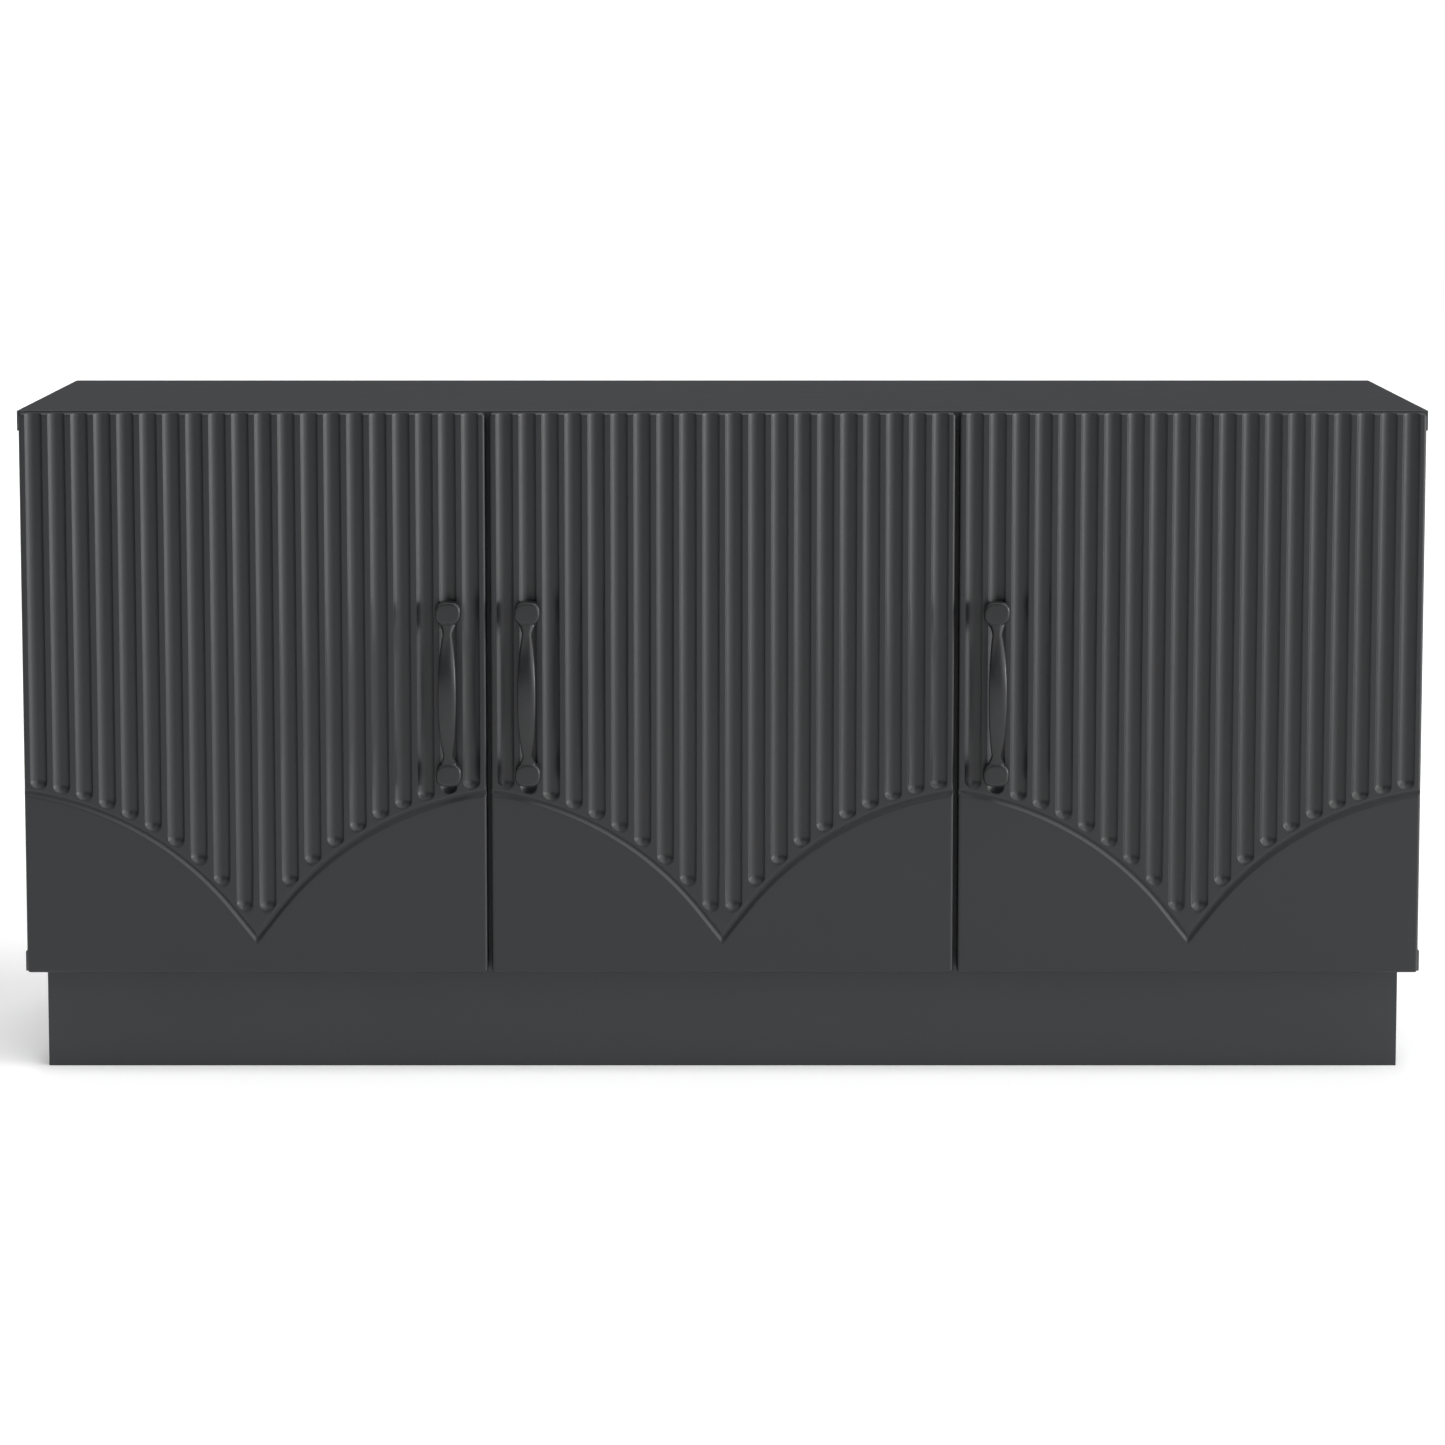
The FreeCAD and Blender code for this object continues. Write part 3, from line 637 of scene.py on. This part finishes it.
def sideWalls(shape, rim, lo, hi):  # the edges and the eased back corner, down to the back face
    bend = carving["backRound"]
    ring = rim
    for angle in carving["backAngles"]:
        inset, along = rounded(bend, angle)
        nextRing = []
        for vert in rim:
            point = vert.co + inward(vert.co, lo, hi) * inset
            nextRing.append(shape.verts.new((point.x, hi.y - bend + along, point.z)))
        for k in range(len(ring)):
            shape.faces.new((ring[k], nextRing[k], nextRing[k - 1], ring[k - 1]))
        ring = nextRing
    return ring


def circle(x, z, radius, sides):
    turns = [2 * math.pi * k / sides for k in range(sides)]
    return [(x + radius * math.cos(turn), z + radius * math.sin(turn)) for turn in turns]


def backFace(shape, ring, cups, hi):  # flat, with two round recesses for the hinge cups
    loops = [[(vert.co.x, vert.co.z) for vert in ring]]
    loops += [circle(x, z, carving["cupRadius"], carving["cupSides"]) for x, z in cups]
    points, edges, corners, loopOf = [], [], list(ring), []
    for number, loop in enumerate(loops):
        start = len(points)
        points += [Vector(place) for place in loop]
        loopOf += [number] * len(loop)
        edges += [(start + k, start + (k + 1) % len(loop)) for k in range(len(loop))]
    for loop in loops[1:]:
        mouth = [shape.verts.new((x, hi.y, z)) for x, z in loop]
        foot = [shape.verts.new((x, hi.y - carving["cupDepth"], z)) for x, z in loop]
        corners += mouth
        for k in range(len(loop)):
            shape.faces.new((mouth[k - 1], mouth[k], foot[k], foot[k - 1]))
        shape.faces.new(list(reversed(foot)))
    insideOutline = 1
    filled = geometry.delaunay_2d_cdt(points, edges, [], insideOutline, carving["weld"])
    triangles, origins = filled[2], filled[3]
    for triangle in triangles:
        places = [origins[i][0] for i in triangle]
        touched = {loopOf[i] for i in places}
        if len(touched) > 1 or touched == {0}:  # all three corners on one cup's rim would close its mouth
            shape.faces.new([corners[i] for i in places])


def makeDoor(name, hingeSide, tree):
    lo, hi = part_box(name + "_door")
    piece, outline = carvedSheet(name + "DoorFront", lo, hi, tree)
    shape = bmesh.new()
    shape.from_mesh(piece.data)
    shape.verts.ensure_lookup_table()
    rim = [shape.verts[i] for i in outline]
    ring = sideWalls(shape, rim, lo, hi)
    cupX = (lo.x if hingeSide < 0 else hi.x) - hingeSide * carving["cupFromEdge"]
    cups = [(cupX, lo.z + carving["hingeFromEnd"]), (cupX, hi.z - carving["hingeFromEnd"])]
    backFace(shape, ring, cups, hi)
    bmesh.ops.recalc_face_normals(shape, faces=shape.faces)
    shadeRound(shape, carving["crease"])
    piece.data = meshOf(shape, name + "DoorFront")
    piece.data.materials.append(finishes["painted_front"])
    weighted = piece.modifiers.new("evenShading", "WEIGHTED_NORMAL")
    weighted.keep_sharp = True
    applied(piece)
    seat(piece, name + "_door")
    return piece


frontTree = carvedTree(finishes["painted_front"])
for name, hingeSide in doors.items():
    print("door", name, len(makeDoor(name, hingeSide, frontTree).data.polygons), "faces")


pull = {
    "headWidth": 0.0254,
    "headHeight": 0.023,
    "headThick": 0.0135,
    "frontRound": 0.003,
    "headAngles": (0, 20, 40, 60, 75, 90),  # steps round a head's front edge
    "spacing": 0.162,
    "neckGap": 0.01,
    "neckWidth": 0.0098,
    "bowWidth": 0.0185,
    "rootWidth": 0.0165,
    "neckThick": 0.0065,
    "bowThick": 0.008,
    "rootThick": 0.007,
    "inHead": 0.003,
    "rootHeight": 0.48,  # middle of the bow's ends, as a share of the heads' thickness
    "arch": 2.5,  # power of the arch: higher is flatter along the middle
    "swell": 0.8,
    "flare": 1.6,
    "bowSteps": 72,
    "slopeReach": 0.001,
    "projection": 0.033,
    "headCorners": 2.9,  # how square the heads are
    "bowCorners": 2.7,  # how flat the face of the bow is
    "ringPoints": 48,
    "grain": 0.0006,
    "easeShare": 0.5,
    "easeRounds": 6,
}


def outlineRing(halfWidth, halfHeight, power):  # a soft square or an oval
    ring = []
    for k in range(pull["ringPoints"]):
        angle = 2 * math.pi * k / pull["ringPoints"]
        c, s = math.cos(angle), math.sin(angle)
        ring.append((math.copysign(abs(c) ** (2 / power), c) * halfWidth,
                     math.copysign(abs(s) ** (2 / power), s) * halfHeight))
    return ring


def skin(shape, rings):  # a closed skin over a row of rings
    rows = [[shape.verts.new(point) for point in ring] for ring in rings]
    for here, there in zip(rows, rows[1:]):
        for k in range(len(here)):
            shape.faces.new((here[k - 1], here[k], there[k], there[k - 1]))
    shape.faces.new(list(reversed(rows[0])))
    shape.faces.new(rows[-1])


def headRings(x, z, faceY):
    wide, tall, bend = pull["headWidth"] / 2, pull["headHeight"] / 2, pull["frontRound"]
    steps = [(0.0, 0.0)]  # how far in from the head's side, and how far out from the door
    for angle in pull["headAngles"]:
        inset, along = rounded(bend, angle)
        steps.append((inset, pull["headThick"] - bend + along))
    rings = []
    for inset, out in steps:
        outline = outlineRing(wide - inset, tall - inset, pull["headCorners"])
        rings.append([(x + a, faceY - out, z + b) for a, b in outline])
    return rings


headEdge = (pull["spacing"] - pull["headHeight"]) / 2
bowReach = headEdge + pull["inHead"]
bowNeck = headEdge - pull["neckGap"]


def bowOffset(height):  # how far the middle of the bow stands out
    foot = pull["headThick"] * pull["rootHeight"]
    share = min(abs(height) / bowReach, 1)
    return foot + (pull["projection"] - pull["bowThick"] / 2 - foot) * (1 - share ** pull["arch"])


def bowRings(x, z, faceY):  # wide in the middle, thin at the necks and a little wider in the heads
    rings = []
    for height in spread(-bowReach, bowReach, pull["bowSteps"]):
        swell = max(1 - (height / bowNeck) ** 2, 0) ** pull["swell"]
        flare = (max(abs(height) - bowNeck, 0) / pull["neckGap"]) ** pull["flare"]
        wide = pull["neckWidth"] + (pull["bowWidth"] - pull["neckWidth"]) * swell
        wide += (pull["rootWidth"] - pull["neckWidth"]) * flare
        deep = pull["neckThick"] + (pull["bowThick"] - pull["neckThick"]) * swell
        deep += (pull["rootThick"] - pull["neckThick"]) * flare
        low, high = max(height - pull["slopeReach"], -bowReach), min(height + pull["slopeReach"], bowReach)
        lean = (bowOffset(high) - bowOffset(low)) / (high - low)
        out = Vector((0, -1, -lean)).normalized()
        centre = Vector((x, faceY - bowOffset(height), z + height))
        outline = outlineRing(wide / 2, deep / 2, pull["bowCorners"])
        rings.append([centre + Vector((a, 0, 0)) + out * b for a, b in outline])
    return rings


def makeHandle(name):
    lo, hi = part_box(name + "_handle")
    x, z, faceY = (lo.x + hi.x) / 2, (lo.z + hi.z) / 2, hi.y
    shape = bmesh.new()
    for side in (-1, 1):
        skin(shape, headRings(x, z + side * pull["spacing"] / 2, faceY))
    skin(shape, bowRings(x, z, faceY))
    bmesh.ops.recalc_face_normals(shape, faces=shape.faces)
    piece = newObject(name + "CastHandle", meshOf(shape, name + "CastHandle"), finishes["pewter"])
    fuse = piece.modifiers.new("fuse", "REMESH")
    fuse.mode = "VOXEL"
    fuse.voxel_size = pull["grain"]
    fuse.use_smooth_shade = True
    ease = piece.modifiers.new("ease", "SMOOTH")
    ease.factor = pull["easeShare"]
    ease.iterations = pull["easeRounds"]
    applied(piece)
    for vert in piece.data.vertices:  # the cast back stays flat on the door
        vert.co.y = min(vert.co.y, faceY)
    seat(piece, name + "_handle")
    return piece


for name in doors:
    print("handle", name, len(makeHandle(name).data.polygons), "faces")


boards = {
    "ease": 0.0007,
    "easeSegments": 3,
    "weld": 0.00001,
    "flat": 1.0,  # degrees between faces that count as one
    "onBox": 0.00002,  # how near an edge runs to the board's box to be eased
    "names": ["top_panel", "bottom_panel", "left_side_panel", "right_side_panel", "left_partition",
              "right_partition", "plinth_front", "plinth_back", "plinth_left_end", "plinth_right_end"],
}


def easedBoard(node):  # the twelve outer edges are eased, and the holes and grooves stay sharp
    shape = bmesh.new()
    shape.from_mesh(frame["nodes"][node].data)
    bmesh.ops.remove_doubles(shape, verts=shape.verts, dist=boards["weld"])
    flat = math.radians(boards["flat"])
    bmesh.ops.dissolve_limit(shape, angle_limit=flat, verts=shape.verts, edges=shape.edges)
    lo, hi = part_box(node)
    weight = shape.edges.layers.float.new("bevel_weight_edge")
    for edge in shape.edges:
        a, b = (vert.co for vert in edge.verts)
        shared = 0
        for axis in range(3):
            for side in (lo[axis], hi[axis]):
                shared += abs(a[axis] - side) < boards["onBox"] and abs(b[axis] - side) < boards["onBox"]
        edge[weight] = 1.0 if shared >= 2 else 0.0
    piece = newObject(node + "Board", meshOf(shape, node + "Board"), finishes[slotOf[node]])
    bevel = piece.modifiers.new("ease", "BEVEL")
    bevel.limit_method = "WEIGHT"
    bevel.width = boards["ease"]
    bevel.segments = boards["easeSegments"]
    bevel.harden_normals = True
    applied(piece)
    seat(piece, node)


for node in boards["names"]:
    easedBoard(node)
print("boards eased:", len(boards["names"]))


fittings = {
    "slots": ("zinc_casting", "zinc_steel", "nickel_steel", "clear_rubber"),
    "weld": 0.000002,
    "crease": 34.0,
}


def smoothFitting(node):  # the same solid with its round faces shaded round
    shape = bmesh.new()
    shape.from_mesh(frame["nodes"][node].data)
    bmesh.ops.remove_doubles(shape, verts=shape.verts, dist=fittings["weld"])
    shadeRound(shape, fittings["crease"])
    seat(newObject(node + "Fitting", meshOf(shape, node + "Fitting"), finishes[slotOf[node]]), node)


replaced = set(boards["names"]) | {name + part for name in doors for part in ("_door", "_handle")}
for node, part in frame["nodes"].items():
    if node in replaced:
        continue
    if slotOf[node] in fittings["slots"]:
        smoothFitting(node)
    else:  # shelves, backs, dowels, blocks and braces keep their own mesh
        part.data.materials.clear()
        part.data.materials.append(finishes[slotOf[node]])
print("fittings finished")


floor = {
    "size": 24.0,
    "dark": (0.92, 0.92, 0.92),
    "light": (0.94, 0.94, 0.94),
    "rough": 0.8,
    "cloud": (3.0, 2.0),
    "glow": 0.21,  # a lit table top, so that the floor stays white
}


def makeFloor():
    half = floor["size"] / 2
    mesh = bpy.data.meshes.new("floor")
    corners = [(-half, -half, 0), (half, -half, 0), (half, half, 0), (-half, half, 0)]
    mesh.from_pydata(corners, [], [(0, 1, 2, 3)])
    constants = {
        "Roughness": floor["rough"],
        "Emission Color": (1, 1, 1, 1),
        "Emission Strength": floor["glow"],
    }
    material, graph, shader, where = newFinish("paleFloor", constants)
    graph.give(shader.inputs["Base Color"], blendColour(graph, noise(graph, where, *floor["cloud"]), floor))
    newObject("floor", mesh, material)


studio = {
    "backdrop": 1.0,  # how bright the surroundings look
    "ambient": 0.07,  # how much light they give
    "lampDistance": 4.0,
    "lamps": {  # soft suns: the bearing they come from, right of the front, and their height, in degrees
        "broad": {"bearing": 55.0, "height": 20.0, "softness": 70.0, "strength": 2.62},
        "side": {"bearing": 76.0, "height": 0.0, "softness": 24.0, "strength": 2.55},
        "high": {"bearing": 62.0, "height": 60.0, "softness": 30.0, "strength": 0.66},
        "crown": {"bearing": 40.0, "height": 82.0, "softness": 40.0, "strength": 0.34},
        "ridge": {"bearing": 180.0, "height": 72.0, "softness": 24.0, "strength": 0.85},
        "rear": {"bearing": 180.0, "height": 48.0, "softness": 50.0, "strength": 0.19},
        "fill": {"bearing": -45.0, "height": 55.0, "softness": 60.0, "strength": 0.79},
    },
}


def makeWorld():
    world = bpy.data.worlds.new("studio")
    scene.world = world
    world.use_nodes = True
    graph = Graph(world.node_tree)
    seen = graph.num(graph.node("ShaderNodeLightPath"), "Is Camera Ray")
    background = world.node_tree.nodes["Background"]
    background.inputs["Color"].default_value = (1, 1, 1, 1)
    strength = seen * (studio["backdrop"] - studio["ambient"]) + studio["ambient"]
    graph.give(background.inputs["Strength"], strength)


def makeLamp(name, facts):
    light = bpy.data.lights.new(name, "SUN")
    light.energy = facts["strength"]
    light.angle = math.radians(facts["softness"])
    lamp = bpy.data.objects.new(name, light)
    scene.collection.objects.link(lamp)
    bearing, height = math.radians(facts["bearing"]), math.radians(facts["height"])
    flat = math.cos(height)
    source = Vector((math.sin(bearing) * flat, -math.cos(bearing) * flat, math.sin(height)))
    lamp.location = source * studio["lampDistance"]
    lamp.rotation_euler = source.to_track_quat("Z", "Y").to_euler()


view = {
    "place": (0.0, -4.2267, 1.0199),
    "tilt": 5.684,  # degrees that it looks down
    "lens": 102.48,
    "sensor": 36.0,
    "drop": -0.18,  # the frame is set this share of its width lower
}


def makeCamera():
    data = bpy.data.cameras.new("camera")
    data.sensor_width = view["sensor"]
    data.lens = view["lens"]
    data.shift_y = view["drop"]
    camera = bpy.data.objects.new("camera", data)
    scene.collection.objects.link(camera)
    camera.location = view["place"]
    camera.rotation_euler = (math.radians(90 - view["tilt"]), 0, 0)  # level would be 90
    scene.camera = camera


makeFloor()
makeWorld()
for name, facts in studio["lamps"].items():
    makeLamp(name, facts)
makeCamera()
print("stage set")
